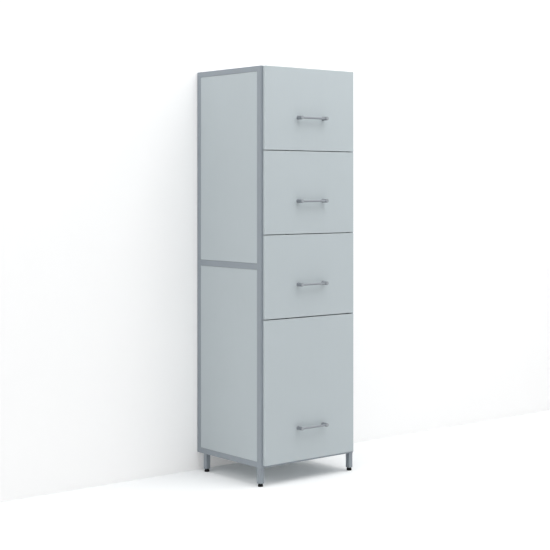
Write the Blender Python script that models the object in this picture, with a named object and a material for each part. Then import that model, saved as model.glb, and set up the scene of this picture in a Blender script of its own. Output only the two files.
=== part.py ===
"""Tall laboratory storage cabinet with four pull-out drawers.

Two welded tube side frames, joined by cross rails, carry laminate panels.
Each drawer is a folded steel tray behind a laminate front, and rolls on a
pair of full-extension ball-bearing runners. Four levelling feet screw into
plugs in the legs.

Metres, +Z up, the front faces -Y. The origin is on the floor, at the middle
of the outer box.
"""
import math

import bmesh
import bpy
from mathutils import Matrix, Vector

# Outer sizes of the frame
WIDTH = 0.600
FRAME_DEPTH = 0.515
HEIGHT = 2.014

# Gap between pieces that touch
SEAM = 0.0003
# How far a cutter runs past the face it cuts
OVERRUN = 0.002

# Welded tube
TUBE = 0.025
TUBE_WALL = 0.0015
TUBE_RADIUS = 0.002
POST_DEPTH = 0.030
SIDE_RAIL = 0.027
SIDE_MID_RAIL = 0.030
FLOOR_CLEARANCE = 0.090

# Legs, the same tube as the cross rails
LEG_BOTTOM = 0.017
REAR_LEG_INSET = 0.054

# Panels in the frames
BOARD = 0.016
BOARD_ARRIS = 0.0006
BACK_BOARD = 0.008
PANEL_RECESS = 0.0005
# Clears the rounded corners of the side frame's windows
PANEL_SEAM = 0.0005

# Drawer fronts
FRONT_BOARD = 0.016
FRONT_ARRIS = 0.001
FRONT_SEAT = 0.0005
FRONT_SIDE_MARGIN = 0.0135
FRONT_BOTTOM = 0.102
FRONT_TOP_DROP = 0.0005
FRONT_GAP = 0.004
LARGE_FRONT_GAP = 0.005
SMALL_FRONT_HEIGHT = 0.4017
SMALL_FRONTS = 3

# Runners, three nested members of rolled steel
RUNNER_SETBACK = 0.002
RUNNER_END_CLEARANCE = 0.013
RUNNER_THICKNESS = 0.0127
RUNNER_HEIGHT = 0.045
RUNNER_SHEET = 0.0012
MIDDLE_HEIGHT = 0.0328
INNER_HEIGHT = 0.0220
MEMBER_GAP = 0.0006
RACE_RADIUS = 0.0022
RACE_STEPS = 3
OUTER_LIP_REACH = 0.0090
MIDDLE_LIP_REACH = 0.0104
SCREW_HOLE_RADIUS = 0.0023
ACCESS_HOLE_RADIUS = 0.0045
HOLE_SIDES = 8
# Screw holes of the inner member, as shares of the tray's depth
INNER_HOLE_SHARES = (0.08, 0.45, 0.90)

# Folded steel trays
TRAY_SHEET = 0.0012
TRAY_REAR_CLEARANCE = 0.010
TRAY_LIFT = 0.030
# Heights of the trays, as shares of their fronts' heights
SMALL_TRAY_SHARE = 0.646
LARGE_TRAY_SHARE = 0.605694404
TRAY_FLANGE = 0.011
TRAY_LIP = 0.006
FOLD_RADIUS = 0.0025
RUNNER_RISE = 0.060

# Bar handles
HANDLE_RISE = 0.159
HANDLE_SPACING = 0.160
HANDLE_PROJECTION = 0.035
HANDLE_POST_RADIUS = 0.008
HANDLE_POST_ROUNDING = 0.0012
HANDLE_ROSE_RADIUS = 0.011
HANDLE_ROSE_THICKNESS = 0.003
HANDLE_BAR_RADIUS = 0.004
HANDLE_BAR_SETBACK = 0.008
HANDLE_SCREW_RADIUS = 0.002
HANDLE_SCREW_HEAD_RADIUS = 0.004
HANDLE_SCREW_HEAD = 0.0025
SCREW_CLEARANCE = 0.0005
POST_SIDES = 20
BAR_SIDES = 14
SCREW_SIDES = 10

# Levelling feet and the plugs that they screw into
FOOT_RADIUS = 0.0125
FOOT_RIM = 0.0065
FOOT_HEIGHT = 0.0145
FOOT_NECK_RADIUS = 0.006
STUD_RADIUS = 0.004
STUD_TOP = 0.052
STUD_CHAMFER = 0.001
FOOT_SIDES = 20
DOME_STEPS = 4
PLUG_FLANGE = 0.0017
PLUG_HEIGHT = 0.026
PLUG_CORNER = 0.0008

# Places that follow from the sizes above
FRAME_FRONT = (HANDLE_PROJECTION + FRONT_BOARD + FRONT_SEAT - FRAME_DEPTH) / 2
FRAME_BACK = FRAME_FRONT + FRAME_DEPTH
SIDE_OUTER = WIDTH / 2
SIDE_INNER = SIDE_OUTER - TUBE
FRAME_BOTTOM = FLOOR_CLEARANCE
BOTTOM_RAIL_TOP = FRAME_BOTTOM + SIDE_RAIL
TOP_RAIL_BOTTOM = HEIGHT - SIDE_RAIL
MID_RAIL_CENTRE = (BOTTOM_RAIL_TOP + TOP_RAIL_BOTTOM) / 2
MID_RAIL_BOTTOM = MID_RAIL_CENTRE - SIDE_MID_RAIL / 2
MID_RAIL_TOP = MID_RAIL_CENTRE + SIDE_MID_RAIL / 2
FRONT_POST_BACK = FRAME_FRONT + POST_DEPTH
BACK_POST_FRONT = FRAME_BACK - POST_DEPTH
FRONT_LEG_CENTRE = FRONT_POST_BACK - TUBE / 2
BACK_LEG_CENTRE = FRAME_BACK - REAR_LEG_INSET - TUBE / 2
LEG_CENTRE_X = SIDE_OUTER - TUBE / 2
CROSS_RAIL_REACH = SIDE_INNER - SEAM
FRONT_BACK_FACE = FRAME_FRONT - FRONT_SEAT
FRONT_FACE = FRONT_BACK_FACE - FRONT_BOARD
TRAY_FRONT = FRONT_BACK_FACE + SEAM
TRAY_HALF_WIDTH = SIDE_INNER - SEAM - RUNNER_THICKNESS - SEAM
TRAY_DEPTH = FRAME_BACK - TUBE - TRAY_REAR_CLEARANCE - TRAY_FRONT
RUNNER_FRONT = FRAME_FRONT + RUNNER_SETBACK
RUNNER_BACK = FRAME_BACK - RUNNER_END_CLEARANCE
RUNNER_LENGTH = RUNNER_BACK - RUNNER_FRONT
SMALL_PITCH = SMALL_FRONT_HEIGHT + FRONT_GAP
FRONT_TOP = HEIGHT - FRONT_TOP_DROP
LARGE_FRONT_TOP = FRONT_TOP - SMALL_FRONTS * SMALL_PITCH + FRONT_GAP - LARGE_FRONT_GAP
LARGE_FRONT_HEIGHT = LARGE_FRONT_TOP - FRONT_BOTTOM

SIDES = (("left", -1), ("right", 1))
ENDS = (("front", FRONT_LEG_CENTRE), ("rear", BACK_LEG_CENTRE))

# Colour, roughness and metallic value of each finish
FINISHES = {
    "frame_paint": ((0.32, 0.36, 0.395), 0.45, 0.0),
    "laminate": ((0.56, 0.62, 0.65), 0.50, 0.0),
    "tray_paint": ((0.60, 0.63, 0.65), 0.45, 0.0),
    "handle_metal": ((0.36, 0.39, 0.42), 0.40, 0.0),
    "zinc": ((0.62, 0.63, 0.64), 0.35, 1.0),
    "foot_plastic": ((0.02, 0.02, 0.022), 0.55, 0.0),
    "plug_plastic": ((0.30, 0.32, 0.34), 0.60, 0.0),
}


def clear_scene():
    for thing in list(bpy.data.objects):
        bpy.data.objects.remove(thing, do_unlink=True)


def make_material(name, finish):
    colour, roughness, metallic = FINISHES[finish]
    material = bpy.data.materials.new(name)
    material.use_nodes = True
    shader = material.node_tree.nodes["Principled BSDF"]
    shader.inputs["Base Color"].default_value = (*colour, 1.0)
    shader.inputs["Roughness"].default_value = roughness
    shader.inputs["Metallic"].default_value = metallic
    material.diffuse_color = (*colour, 1.0)
    return material


def add_object(name, mesh, finish, location, parent):
    """One named sub-part, placed by its own location under its parent."""
    thing = bpy.data.objects.new(name, mesh)
    bpy.context.scene.collection.objects.link(thing)
    thing.location = location
    thing.parent = parent
    if finish and not mesh.materials:
        mesh.materials.append(make_material(name, finish))
    return thing


def add_cutter(name, mesh, location, parent):
    """A guide for a Boolean, which isn't a piece itself."""
    cutter = add_object(name, mesh, None, location, parent)
    cutter.hide_render = True
    cutter.display_type = "WIRE"
    return cutter


def add_empty(name, location, parent=None):
    empty = bpy.data.objects.new(name, None)
    bpy.context.scene.collection.objects.link(empty)
    empty.location = location
    empty.parent = parent
    return empty


def finish_mesh(name, bm, smooth=False):
    bmesh.ops.recalc_face_normals(bm, faces=bm.faces)
    mesh = bpy.data.meshes.new(name)
    bm.to_mesh(mesh)
    bm.free()
    if smooth:
        mesh.shade_smooth()
        mesh.set_sharp_from_angle(angle=math.radians(35))
    return mesh


def add_bevel(thing, width, segments):
    bevel = thing.modifiers.new("bevel", "BEVEL")
    bevel.width = width
    bevel.segments = segments
    bevel.limit_method = "ANGLE"
    bevel.angle_limit = math.radians(40)


def add_boolean(thing, other, operation):
    boolean = thing.modifiers.new(operation.lower(), "BOOLEAN")
    boolean.operation = operation
    boolean.object = other
    boolean.solver = "EXACT"


def box_mesh(name, low, high):
    """A plain block between two corners."""
    bm = bmesh.new()
    bmesh.ops.create_cube(bm, size=1.0)
    for vert in bm.verts:
        vert.co = Vector(b if c > 0 else a for a, b, c in zip(low, high, vert.co))
    return finish_mesh(name, bm)


def rounded_rectangle(half_width, half_height, radius, steps):
    """Points of a rectangle about zero with round corners, anticlockwise."""
    points = []
    for sign_x, sign_y, start in ((1, 1, 0), (-1, 1, 90), (-1, -1, 180), (1, -1, 270)):
        centre = Vector((sign_x * (half_width - radius), sign_y * (half_height - radius)))
        for step in range(steps + 1):
            angle = math.radians(start + 90 * step / steps)
            points.append(centre + radius * Vector((math.cos(angle), math.sin(angle))))
    return points


def tube_mesh(name, half_width, half_height, low, high, wall, turn):
    """A rolled rectangular tube from low to high, open at both ends."""
    outer = rounded_rectangle(half_width, half_height, TUBE_RADIUS, 2)
    inner = rounded_rectangle(half_width - wall, half_height - wall, TUBE_RADIUS - wall, 2)
    bm = bmesh.new()
    rings = []
    for points in (outer, inner):
        for level in (low, high):
            rings.append([bm.verts.new((point.x, point.y, level)) for point in points])
    outer_low, outer_high, inner_low, inner_high = rings
    for first, second in (
        (outer_low, outer_high),
        (outer_high, inner_high),
        (inner_high, inner_low),
        (inner_low, outer_low),
    ):
        for index in range(len(first)):
            after = (index + 1) % len(first)
            bm.faces.new((first[index], first[after], second[after], second[index]))
    bm.transform(turn)
    return finish_mesh(name, bm)


def prism_mesh(name, points, low, high, turn=Matrix()):
    """A closed outline drawn out along Z, then turned."""
    bm = bmesh.new()
    verts = [bm.verts.new((point[0], point[1], low)) for point in points]
    face = bm.faces.new(verts)
    drawn = bmesh.ops.extrude_face_region(bm, geom=[face])["geom"]
    for vert in drawn:
        if isinstance(vert, bmesh.types.BMVert):
            vert.co.z = high
    bm.transform(turn)
    return finish_mesh(name, bm)


def revolve_mesh(name, profile, sides, turn=Matrix()):
    """A profile of (radius, height) turned about Z, closed at both ends."""
    bm = bmesh.new()
    rings = []
    for radius, height in profile:
        if radius == 0:
            rings.append([bm.verts.new((0, 0, height))])
            continue
        ring = []
        for side in range(sides):
            angle = 2 * math.pi * side / sides
            ring.append(bm.verts.new((radius * math.cos(angle), radius * math.sin(angle), height)))
        rings.append(ring)
    for low, high in zip(rings, rings[1:]):
        for side in range(sides):
            after = (side + 1) % sides
            corners = [low[side % len(low)], low[after % len(low)]]
            corners += [high[after % len(high)], high[side % len(high)]]
            bm.faces.new(list(dict.fromkeys(corners)))
    bm.transform(turn)
    return finish_mesh(name, bm, smooth=True)


def ladder_mesh(name, y_levels, z_levels, low_x, high_x):
    """A plate with two windows, one above the other, drawn out along X."""
    bm = bmesh.new()
    grid = [[bm.verts.new((low_x, y, z)) for y in y_levels] for z in z_levels]
    faces = []
    for row in range(len(z_levels) - 1):
        for column in range(len(y_levels) - 1):
            if row % 2 == 1 and column == 1:
                continue
            corners = (grid[row][column], grid[row][column + 1])
            corners += (grid[row + 1][column + 1], grid[row + 1][column])
            faces.append(bm.faces.new(corners))
    drawn = bmesh.ops.extrude_face_region(bm, geom=faces)["geom"]
    for vert in drawn:
        if isinstance(vert, bmesh.types.BMVert):
            vert.co.x = high_x
    return finish_mesh(name, bm)


def frame_levels(inset):
    """Edges of the side frame's tubes, each drawn in by the inset."""
    y_levels = (
        FRAME_FRONT + inset,
        FRONT_POST_BACK - inset,
        BACK_POST_FRONT + inset,
        FRAME_BACK - inset,
    )
    z_levels = (
        FRAME_BOTTOM + inset,
        BOTTOM_RAIL_TOP - inset,
        MID_RAIL_BOTTOM + inset,
        MID_RAIL_TOP - inset,
        TOP_RAIL_BOTTOM + inset,
        HEIGHT - inset,
    )
    return y_levels, z_levels


def add_side_frame(name, side, cabinet):
    """Posts, three rails and two legs, welded, and hollow from leg to top."""
    half = TUBE / 2
    y_levels, z_levels = frame_levels(0)
    outer = ladder_mesh(name, y_levels, z_levels, -half, half)
    centre = (side * LEG_CENTRE_X, 0, 0)
    frame = add_object(name, outer, "frame_paint", centre, cabinet)
    add_bevel(frame, TUBE_RADIUS, 2)
    leg_outline = rounded_rectangle(half, half, TUBE_RADIUS, 2)
    bore_half = half - TUBE_WALL
    bore_outline = rounded_rectangle(bore_half, bore_half, TUBE_RADIUS - TUBE_WALL, 2)
    leg_mesh = prism_mesh("leg_stock", leg_outline, LEG_BOTTOM, FRAME_BOTTOM + TUBE_RADIUS)
    bore_low = LEG_BOTTOM - OVERRUN
    bore_high = FRAME_BOTTOM + TUBE_WALL + OVERRUN
    bore_mesh = prism_mesh("leg_bore", bore_outline, bore_low, bore_high)
    for end, y in ENDS:
        leg = add_cutter(f"{name}_{end}_leg", leg_mesh, (side * LEG_CENTRE_X, y, 0), cabinet)
        add_boolean(frame, leg, "UNION")
    y_levels, z_levels = frame_levels(TUBE_WALL)
    hollow_mesh = ladder_mesh("frame_hollow", y_levels, z_levels, -bore_half, bore_half)
    hollow = add_cutter(f"{name}_hollow", hollow_mesh, centre, cabinet)
    add_boolean(frame, hollow, "DIFFERENCE")
    for end, y in ENDS:
        bore = add_cutter(f"{name}_{end}_bore", bore_mesh, (side * LEG_CENTRE_X, y, 0), cabinet)
        add_boolean(frame, bore, "DIFFERENCE")


def add_cross_rails(cabinet):
    """Square tubes between the side frames, at the front and the back."""
    half = TUBE / 2
    turn = Matrix.Rotation(math.radians(90), 4, "Y")
    mesh = tube_mesh("cross_rail", half, half, -CROSS_RAIL_REACH, CROSS_RAIL_REACH, TUBE_WALL, turn)
    mesh.materials.append(make_material("cross_rail", "frame_paint"))
    front, back = FRAME_FRONT + half, FRAME_BACK - half
    bottom, top = FRAME_BOTTOM + half, HEIGHT - half
    places = {
        "front_bottom_rail": (front, bottom),
        "front_top_rail": (front, top),
        "rear_bottom_rail": (back, bottom),
        "rear_middle_rail": (back, MID_RAIL_CENTRE),
        "rear_top_rail": (back, top),
    }
    for name, (y, z) in places.items():
        add_object(name, mesh, None, (0, y, z), cabinet)


def add_board(name, low, high, arris, finish, parent, segments=1):
    """A faced board between two corners, its origin at its middle."""
    low, high = Vector(low), Vector(high)
    middle = (low + high) / 2
    mesh = box_mesh(name, low - middle, high - middle)
    board = add_object(name, mesh, finish, middle, parent)
    add_bevel(board, arris, segments)
    return board


def add_panels(cabinet):
    """Boards in the windows of the side frames, and the top, bottom and back."""
    side_windows = (
        ("lower", BOTTOM_RAIL_TOP + PANEL_SEAM, MID_RAIL_BOTTOM - PANEL_SEAM),
        ("upper", MID_RAIL_TOP + PANEL_SEAM, TOP_RAIL_BOTTOM - PANEL_SEAM),
    )
    for level, bottom, top in side_windows:
        for hand, side in SIDES:
            face_out = side * (SIDE_OUTER - PANEL_RECESS)
            face_in = side * (SIDE_OUTER - PANEL_RECESS - BOARD)
            low = (min(face_out, face_in), FRONT_POST_BACK + PANEL_SEAM, bottom)
            high = (max(face_out, face_in), BACK_POST_FRONT - PANEL_SEAM, top)
            add_board(f"side_panel_{level}_{hand}", low, high, BOARD_ARRIS, "laminate", cabinet)
    inner = SIDE_INNER - SEAM
    back_face = FRAME_BACK - PANEL_RECESS
    cross_rail_top = FRAME_BOTTOM + TUBE
    past_rail = TUBE / 2 + SEAM
    back_windows = (
        ("lower", cross_rail_top + SEAM, MID_RAIL_CENTRE - past_rail),
        ("upper", MID_RAIL_CENTRE + past_rail, HEIGHT - TUBE - SEAM),
    )
    for level, bottom, top in back_windows:
        low, high = (-inner, back_face - BACK_BOARD, bottom), (inner, back_face, top)
        add_board(f"back_panel_{level}", low, high, BOARD_ARRIS, "laminate", cabinet)
    near = FRAME_FRONT + TUBE + SEAM
    far = FRAME_BACK - TUBE - SEAM
    top_face = HEIGHT - PANEL_RECESS
    bottom_face = cross_rail_top - PANEL_RECESS
    for name, face in (("top_panel", top_face), ("bottom_panel", bottom_face)):
        low, high = (-inner, near, face - BOARD), (inner, far, face)
        add_board(name, low, high, BOARD_ARRIS, "laminate", cabinet)


def add_feet(cabinet):
    """A plug in each leg, and a foot that turns in it on its threaded stud."""
    bore_half = TUBE / 2 - TUBE_WALL - SEAM
    plug_outline = rounded_rectangle(bore_half, bore_half, PLUG_CORNER, 2)
    flange_outline = rounded_rectangle(TUBE / 2, TUBE / 2, TUBE_RADIUS, 2)
    flange_top = LEG_BOTTOM - SEAM
    flange_low = flange_top - PLUG_FLANGE
    plug_mesh = stepped_plug_mesh(flange_outline, plug_outline, flange_low, flange_top)
    plug_mesh.materials.append(make_material("leg_plug", "plug_plastic"))
    foot_mesh = revolve_mesh("levelling_foot", foot_profile(), FOOT_SIDES)
    foot_mesh.materials.append(make_material("levelling_foot", "foot_plastic"))
    for end, y in ENDS:
        for hand, side in SIDES:
            place = (side * LEG_CENTRE_X, y, 0)
            add_object(f"leg_plug_{end}_{hand}", plug_mesh, None, place, cabinet)
            turn = add_empty(f"foot_turn_{end}_{hand}", place, cabinet)
            add_object(f"levelling_foot_{end}_{hand}", foot_mesh, None, (0, 0, 0), turn)


def stepped_plug_mesh(flange, plug, flange_low, flange_top):
    """A square plug with a flange below the tube's end and a round bore."""
    bm = bmesh.new()
    top = flange_low + PLUG_HEIGHT
    count = len(flange)
    half_step = math.pi / count
    bore_radius = (STUD_RADIUS + SEAM) / math.cos(half_step)
    bore = [
        bore_radius * Vector((math.cos(angle), math.sin(angle)))
        for angle in (half_step * (2 * index + 1) for index in range(count))
    ]
    levels = (
        (bore, flange_low),
        (flange, flange_low),
        (flange, flange_top),
        (plug, flange_top),
        (plug, top),
        (bore, top),
    )
    rings = [[bm.verts.new((*point, level)) for point in points] for points, level in levels]
    for first, second in zip(rings, rings[1:] + rings[:1]):
        for index in range(count):
            after = (index + 1) % count
            bm.faces.new((first[index], first[after], second[after], second[index]))
    return finish_mesh("leg_plug", bm)


def foot_profile():
    """Pad with a low dome, and the stud that rises into the leg."""
    profile = [(0, 0), (FOOT_RADIUS, 0), (FOOT_RADIUS, FOOT_RIM)]
    for step in range(1, DOME_STEPS + 1):
        angle = math.radians(90 * step / DOME_STEPS)
        radius = FOOT_NECK_RADIUS + (FOOT_RADIUS - FOOT_NECK_RADIUS) * math.cos(angle)
        height = FOOT_RIM + (FOOT_HEIGHT - FOOT_RIM) * math.sin(angle)
        profile.append((radius, height))
    profile += [(STUD_RADIUS, FOOT_HEIGHT), (STUD_RADIUS, STUD_TOP - STUD_CHAMFER)]
    profile += [(STUD_RADIUS - STUD_CHAMFER, STUD_TOP), (0, STUD_TOP)]
    return profile


def corner_arc(centre, radius, start, end):
    """Points of an arc about a centre, from one angle to another in degrees."""
    points = []
    for step in range(RACE_STEPS + 1):
        angle = math.radians(start + (end - start) * step / RACE_STEPS)
        points.append(centre + radius * Vector((math.cos(angle), math.sin(angle))))
    return points


def channel_outline(web, half_height, lip, curl):
    """Closed outline of a rolled channel, from its centre line.

    The web stands at the given distance from the post. The flanges run from it
    to the lip, which may lie on either side, and curl towards the middle.
    """
    reach = 1 if lip > web else -1
    arm = half_height - RUNNER_SHEET / 2
    radius = RACE_RADIUS
    start, end = (180, 90) if reach > 0 else (0, 90)
    upper = corner_arc(Vector((web + reach * radius, arm - radius)), radius, start, end)
    if curl:
        upper += corner_arc(Vector((lip - reach * radius, arm - radius)), radius, 90, 90 - reach * 90)
    else:
        upper.append(Vector((lip, arm)))
    line = [Vector((point.x, -point.y)) for point in reversed(upper)] + upper
    return thicken(line, RUNNER_SHEET / 2)


def thicken(line, half):
    """Outline of a sheet with square ends about an open centre line."""
    left, right = [], []
    for index, point in enumerate(line):
        before = line[max(index - 1, 0)]
        after = line[min(index + 1, len(line) - 1)]
        into = (point - before).normalized() if index else (after - point).normalized()
        out = (after - point).normalized() if index < len(line) - 1 else into
        middle = (into + out).normalized()
        normal = Vector((-middle.y, middle.x))
        stretch = half / max(middle.dot(into), 0.5)
        left.append(point + normal * stretch)
        right.append(point - normal * stretch)
    return left + right[::-1]


def member_outlines():
    """The three members, from the post inwards."""
    half_sheet = RUNNER_SHEET / 2
    outer_web = half_sheet
    middle_web = RUNNER_SHEET + MEMBER_GAP + half_sheet
    inner_web = RUNNER_THICKNESS - half_sheet
    inner_lip = middle_web + half_sheet + MEMBER_GAP
    return {
        "outer": channel_outline(outer_web, RUNNER_HEIGHT / 2, OUTER_LIP_REACH, True),
        "middle": channel_outline(middle_web, MIDDLE_HEIGHT / 2, MIDDLE_LIP_REACH, False),
        "inner": channel_outline(inner_web, INNER_HEIGHT / 2, inner_lip, False),
    }


def member_mesh(name, outline, side):
    """A member drawn out along the runner, for one side of the cabinet."""
    hand = [Vector((-side * point.x, point.y)) for point in outline]
    turn = Matrix.Rotation(math.radians(90), 4, "X")
    mesh = prism_mesh(name, hand, -RUNNER_LENGTH, 0, turn)
    mesh.materials.append(make_material(name, "zinc"))
    return mesh


def hole_row_mesh(name, places, radius):
    """Round cutters across a member's web, one at each place along it."""
    bm = bmesh.new()
    across = Matrix.Rotation(math.radians(90), 4, "Y")
    for place in places:
        bmesh.ops.create_cone(
            bm,
            cap_ends=True,
            segments=HOLE_SIDES,
            radius1=radius,
            radius2=radius,
            depth=2 * (RUNNER_THICKNESS + OVERRUN),
            matrix=Matrix.Translation((0, place, 0)) @ across,
        )
    return finish_mesh(name, bm)


def member_holes():
    """Holes of the three members, the outer one's on the middle of each post.

    The middle member has wider ones there, for the screwdriver.
    """
    at_front = (FRONT_POST_BACK - RUNNER_FRONT) / 2
    at_back = (BACK_POST_FRONT + RUNNER_BACK) / 2 - RUNNER_FRONT
    on_tray = [TRAY_FRONT - RUNNER_FRONT + share * TRAY_DEPTH for share in INNER_HOLE_SHARES]
    spare = RUNNER_LENGTH / 2
    return {
        "outer": hole_row_mesh("outer_holes", (at_front, spare, at_back), SCREW_HOLE_RADIUS),
        "middle": hole_row_mesh("middle_holes", (at_front, at_back), ACCESS_HOLE_RADIUS),
        "inner": hole_row_mesh("inner_holes", on_tray, SCREW_HOLE_RADIUS),
    }


def tray_mesh(name, height):
    """Open sheet of a tray: floor, walls, top flange and the lip turned down."""
    bm = bmesh.new()
    half = TRAY_HALF_WIDTH
    loops = (
        (0, 0),
        (0, height),
        (TRAY_FLANGE, height),
        (TRAY_FLANGE, height - TRAY_LIP),
    )
    rings = []
    for inset, level in loops:
        x, near, far = half - inset, inset, TRAY_DEPTH - inset
        corners = ((-x, near), (x, near), (x, far), (-x, far))
        rings.append([bm.verts.new((*corner, level)) for corner in corners])
    bm.faces.new(rings[0][::-1])
    for low, high in zip(rings, rings[1:]):
        for index in range(len(low)):
            after = (index + 1) % len(low)
            bm.faces.new((low[index], low[after], high[after], high[index]))
    return finish_mesh(name, bm)


def add_tray(name, height, place, parent):
    tray = add_object(name, tray_mesh(name, height), "tray_paint", place, parent)
    add_bevel(tray, FOLD_RADIUS, 2)
    sheet = tray.modifiers.new("sheet", "SOLIDIFY")
    sheet.thickness = TRAY_SHEET
    sheet.offset = -1
    sheet.use_even_offset = True
    return tray


def handle_post_profile():
    """Post with its rose against the front, drawn along Z from the front."""
    post, rounding = HANDLE_POST_RADIUS, HANDLE_POST_ROUNDING
    screw_end = FRONT_BOARD + SEAM + TRAY_SHEET + SEAM
    head_end = screw_end + HANDLE_SCREW_HEAD
    return [
        (0, -head_end),
        (HANDLE_SCREW_HEAD_RADIUS, -head_end),
        (HANDLE_SCREW_HEAD_RADIUS, -screw_end),
        (HANDLE_SCREW_RADIUS, -screw_end),
        (HANDLE_SCREW_RADIUS, SEAM),
        (HANDLE_ROSE_RADIUS, SEAM),
        (HANDLE_ROSE_RADIUS, HANDLE_ROSE_THICKNESS - rounding),
        (HANDLE_ROSE_RADIUS - rounding, HANDLE_ROSE_THICKNESS),
        (post, HANDLE_ROSE_THICKNESS),
        (post, HANDLE_PROJECTION - rounding),
        (post - rounding, HANDLE_PROJECTION),
        (0, HANDLE_PROJECTION),
    ]


def circle_points(radius, sides):
    turns = [2 * math.pi * side / sides for side in range(sides)]
    return [Vector((radius * math.cos(turn), radius * math.sin(turn))) for turn in turns]


def add_handle(name, place, parent, stock):
    """Two posts with the bar between them, joined into one piece."""
    handle = add_object(name, stock["bar"], "handle_metal", place, parent)
    for hand, side in SIDES:
        spot = Vector(place) + Vector((side * HANDLE_SPACING / 2, 0, 0))
        post = add_cutter(f"{name}_post_{hand}", stock["post"], spot, parent)
        add_boolean(handle, post, "UNION")


def handle_stock():
    """Meshes that the four handles share."""
    along_x = Matrix.Rotation(math.radians(90), 4, "Y")
    out_of_front = Matrix.Rotation(math.radians(90), 4, "X")
    reach = HANDLE_SPACING / 2
    bar_outline = circle_points(HANDLE_BAR_RADIUS, BAR_SIDES)
    bar = prism_mesh("handle_bar", bar_outline, -reach, reach, along_x)
    bar.transform(Matrix.Translation((0, HANDLE_BAR_SETBACK - HANDLE_PROJECTION, 0)))
    post = revolve_mesh("handle_post", handle_post_profile(), POST_SIDES, out_of_front)
    hole_outline = circle_points(HANDLE_SCREW_RADIUS + SCREW_CLEARANCE, SCREW_SIDES)
    depth = FRONT_BOARD + TRAY_SHEET + OVERRUN
    hole = prism_mesh("handle_hole", hole_outline, -depth, OVERRUN, out_of_front)
    return {"bar": bar, "post": post, "hole": hole}


def drawer_layout():
    """Number, lower edge, front height and tray height, from the top down."""
    layout = []
    for number in range(1, SMALL_FRONTS + 1):
        bottom = FRONT_TOP - number * SMALL_PITCH + FRONT_GAP
        tray_height = SMALL_TRAY_SHARE * SMALL_FRONT_HEIGHT
        layout.append((number, bottom, SMALL_FRONT_HEIGHT, tray_height))
    tray_height = LARGE_TRAY_SHARE * LARGE_FRONT_HEIGHT
    layout.append((SMALL_FRONTS + 1, FRONT_BOTTOM, LARGE_FRONT_HEIGHT, tray_height))
    return layout


def add_drawer(number, bottom, height, tray_height, cabinet, stock, members, holes):
    """One drawer with its front, tray and handle, and its pair of runners."""
    runner_z = bottom + TRAY_LIFT + RUNNER_RISE
    origin = Vector((0, RUNNER_FRONT, runner_z))
    drawer = add_empty(f"drawer_slide_{number}", origin, cabinet)
    middle = add_empty(f"middle_slide_{number}", origin, cabinet)
    reach = SIDE_OUTER - FRONT_SIDE_MARGIN
    low = Vector((-reach, FRONT_FACE, bottom)) - origin
    high = Vector((reach, FRONT_BACK_FACE, bottom + height)) - origin
    front = add_board(f"drawer_front_{number}", low, high, FRONT_ARRIS, "laminate", drawer, 2)
    tray_place = Vector((0, TRAY_FRONT, bottom + TRAY_LIFT)) - origin
    tray = add_tray(f"drawer_tray_{number}", tray_height, tray_place, drawer)
    handle_place = Vector((0, FRONT_FACE, bottom + HANDLE_RISE)) - origin
    add_handle(f"drawer_handle_{number}", handle_place, drawer, stock)
    for hand, side in SIDES:
        spot = handle_place + Vector((side * HANDLE_SPACING / 2, 0, 0))
        hole = add_cutter(f"handle_hole_{number}_{hand}", stock["hole"], spot, drawer)
        add_boolean(front, hole, "DIFFERENCE")
        add_boolean(tray, hole, "DIFFERENCE")
        wall = side * (SIDE_INNER - SEAM)
        carriers = {"outer": cabinet, "middle": middle, "inner": drawer}
        for member, carrier in carriers.items():
            spot = Vector((wall, 0, 0))
            if carrier == cabinet:
                spot += origin
            name = f"runner_{member}_{number}_{hand}"
            rail = add_object(name, members[member, hand], None, spot, carrier)
            row = add_cutter(f"{name}_holes", holes[member], spot, carrier)
            add_boolean(rail, row, "DIFFERENCE")


def main():
    clear_scene()
    cabinet = add_empty("cabinet", (0, 0, 0))
    for hand, side in SIDES:
        add_side_frame(f"side_frame_{hand}", side, cabinet)
    add_cross_rails(cabinet)
    add_panels(cabinet)
    add_feet(cabinet)
    stock = handle_stock()
    members = {}
    for member, outline in member_outlines().items():
        for hand, side in SIDES:
            members[member, hand] = member_mesh(f"runner_{member}_{hand}", outline, side)
    holes = member_holes()
    for number, bottom, height, tray_height in drawer_layout():
        add_drawer(number, bottom, height, tray_height, cabinet, stock, members, holes)


main()
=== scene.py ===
import math

import bmesh
import bpy
from mathutils import Matrix, Vector


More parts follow.
